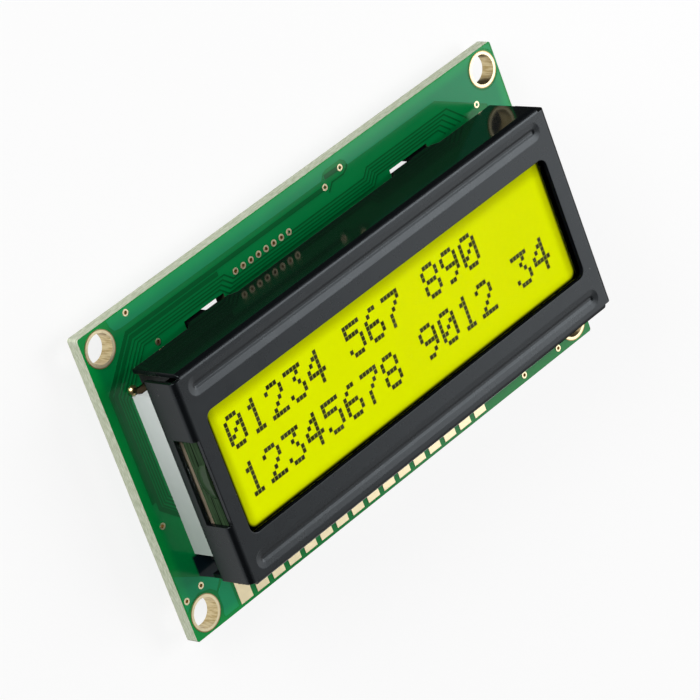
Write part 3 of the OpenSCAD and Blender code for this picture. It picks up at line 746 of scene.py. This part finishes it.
copper_green = lacquer("copper_green", (0.005, 0.32, 0.125), (0.008, 0.42, 0.13))[0]
track_green, tree, shader, _, green = lacquer("track_green", (0.0002, 0.125, 0.030),
                                              (0.001, 0.24, 0.04))
facing = split(tree, surface_normal(tree))
# painted highlight: flanks that face the upper left get a lighter green
painted_highlight_flank = ramp(tree, math_node(tree, "SUBTRACT", facing["Y"], facing["X"]), 0.25, 0.45)
tree.links.new(blend(tree, painted_highlight_flank, green, (0.03, 0.46, 0.20, 1.0)),
               shader.inputs["Base Color"])
for name, lines, width in (("wide_tracks", wide_tracks, 0.55),
                           ("fine_tracks", fine_tracks, 0.2)):
    piece = grow(name, *chains(lines, board_top), sweep, track_green,
                 track_width=width * MM, track_height=2 * copper_height * MM)
    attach(piece, "root")
    print(name, "faces:", len(piece.data.polygons),
          "size:", [round(v / MM, 2) for v in piece.dimensions])

# %% The poured areas of the front
pours = {
    "pour_upper": [
        [(-28.3, 18.0), (32.25, 18.0), (32.25, -13.0), (29.2, -13.0), (29.2, 12.2),
         (22.3, 16.2), (8.1, 16.2), (7.85, 16.85), (7.35, 17.25), (5.0, 17.25),
         (4.45, 17.05), (3.95, 16.4), (-26.9, 16.4), (-27.75, 16.55), (-28.1, 17.1)],
        ring(-25.65, 17.5, 0.36, 16), ring(MOUNT_X, MOUNT_Y, 2.3), ring(27.75, 12.85, 0.36, 16)],
    "pour_lower_left": [
        [(-32.3, -10.2), (-28.9, -12.2), (-26.9, -13.6), (-27.9, -14.6), (-28.6, -13.9),
         (-30.2, -13.45), (-31.6, -13.95), (-32.3, -14.6)],
        ring(-29.5, -12.95, 0.36, 16), ring(-31.9, -13.4, 0.3, 16)],
    "pour_by_header": [
        [(-27.85, -14.9), (-26.6, -13.9), (-25.95, -13.9), (-25.95, -17.7), (-28.05, -17.7),
         (-28.1, -17.3), (-27.85, -16.5)]],
    "pour_lower_right": [[(15.2, -17.05), (27.9, -17.05), (27.9, -13.8), (15.2, -13.8)]],
}
for name, lines in pours.items():
    piece = grow(name, *chains(lines, 0.0, True), pour, copper_green,
                 pour_height=copper_height * MM, pour_level=board_top)
    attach(piece, "root")
    print(name, "faces:", len(piece.data.polygons),
          "size:", [round(v / MM, 2) for v in piece.dimensions])

# %% [markdown]
# ## The floor
# A pale floor that shows white to the camera and through the holes, and that still
# keeps a trace of the module's shadow. Mirrored in gold or paint it glows by position,
# as painted light and painted shadow: bright only on the left and below, and dark under
# the board and past its right and upper edges.

# %% Make the floor
floor_mesh = bpy.data.meshes.new("floor")
reach_out = 2.0                      # metres, each way
floor_mesh.from_pydata([(-reach_out, -reach_out, 0), (reach_out, -reach_out, 0),
                        (reach_out, reach_out, 0), (-reach_out, reach_out, 0)],
                       [], [(0, 1, 2, 3)])
floor = bpy.data.objects.new("floor", floor_mesh)
bpy.context.scene.collection.objects.link(floor)
floor_finish = bpy.data.materials.new("floor")
floor_finish.use_nodes = True
tree = floor_finish.node_tree
tree.nodes.clear()
rays = place(tree, "ShaderNodeLightPath")
seen = math_node(tree, "MAXIMUM", rays.outputs["Is Camera Ray"],
                 rays.outputs["Is Transmission Ray"])
WHITE = (1.0, 1.0, 1.0, 1.0)
paper = place(tree, "ShaderNodeBsdfDiffuse", {"Color": (0.2, 0.2, 0.2, 1.0)})
shine = place(tree, "ShaderNodeEmission", {"Color": WHITE, "Strength": 0.84})
both = place(tree, "ShaderNodeAddShader", {0: paper.outputs[0], 1: shine.outputs[0]})
dull = place(tree, "ShaderNodeBsdfDiffuse", {"Color": (0.6, 0.6, 0.6, 1.0)})
axes = split(tree, object_mm(tree))
painted_shadow_inside = (4.5, 3.0)             # from this far inside the board's edge, dark to bright
painted_light_limits = (31.3, 17.8)         # past these the mirrored floor is dark too
limit_softness = 0.5
clear = math_node(tree, "MAXIMUM", *(
    ramp(tree, math_node(tree, "ABSOLUTE", axes[i]), *(half - inset for inset in painted_shadow_inside))
    for i, half in enumerate((BOARD_X, BOARD_Y))))
for i, limit in enumerate(painted_light_limits):
    clear = math_node(tree, "MULTIPLY", clear, ramp(
        tree, axes[i], limit - limit_softness, limit + limit_softness, 1.0, 0.0))
# painted light and painted shadow: the mirrored floor's emission follows this mask
mirrored_dark, mirrored_bright = 0.03, 0.66
mirrored = place(tree, "ShaderNodeEmission", {
    "Color": WHITE, "Strength": ramp(tree, clear, 0.0, 1.0, mirrored_dark, mirrored_bright)})
bounce = place(tree, "ShaderNodeMixShader", {0: rays.outputs["Is Glossy Ray"],
                                             1: dull.outputs[0], 2: mirrored.outputs[0]})
choice = place(tree, "ShaderNodeMixShader", {0: seen, 1: bounce.outputs[0],
                                             2: both.outputs[0]})
place(tree, "ShaderNodeOutputMaterial", {"Surface": choice.outputs[0]})
floor_mesh.materials.append(floor_finish)

# %% [markdown]
# ## Light
# A plain studio: a soft sky that is brighter on the right, and three soft boxes. The
# strip shows in the parts of the bezel's beads that tilt to it, the panel in the right
# half of its flat face, and the fill lights the board from the upper left.

# %% The sky
world = bpy.data.worlds.new("studio")
bpy.context.scene.world = world
world.use_nodes = True
tree = world.node_tree
tree.nodes.clear()
direction = place(tree, "ShaderNodeTexCoord").outputs["Generated"]
bright_side = (0.8, -0.4, 0.45)
towards = place(tree, "ShaderNodeVectorMath", {0: direction, 1: bright_side},
                operation="DOT_PRODUCT").outputs["Value"]
dim, bright = 0.02, 0.42
level = ramp(tree, towards, 0.35, 0.95, dim, bright)
sky = place(tree, "ShaderNodeBackground", {"Color": WHITE, "Strength": level})
white = place(tree, "ShaderNodeBackground", {"Color": WHITE, "Strength": 1.0})
rays = place(tree, "ShaderNodeLightPath")
choice = place(tree, "ShaderNodeMixShader", {0: rays.outputs["Is Camera Ray"],
                                             1: sky.outputs[0], 2: white.outputs[0]})
place(tree, "ShaderNodeOutputWorld", {"Surface": choice.outputs[0]})

# %% The soft boxes
def soft_box(name, place_mm, aim_mm, size_mm, radiance):
    """A rectangular lamp whose strength is the brightness of its own surface. It looks
    at its aim, or straight down where there is none."""
    data = bpy.data.lights.new(name, "AREA")
    data.shape = "RECTANGLE"
    data.size, data.size_y = (s * MM for s in size_mm)
    data.energy = radiance * math.pi * data.size * data.size_y
    lamp = bpy.data.objects.new(name, data)
    bpy.context.scene.collection.objects.link(lamp)
    lamp.location = Vector(place_mm) * MM
    if aim_mm:
        towards = Vector(aim_mm) - Vector(place_mm)
        lamp.rotation_euler = towards.to_track_quat("-Z", "Y").to_euler()
    return lamp


soft_box("strip", (330, 22, 310), None, (360, 185), 4.2)
soft_box("panel", (433, -195, 310), None, (390, 270), 1.35)
soft_box("fill", (-420, 420, 190), (0, 0, 5), (420, 300), 8.5)

bpy.context.scene.view_settings.view_transform = "Standard"
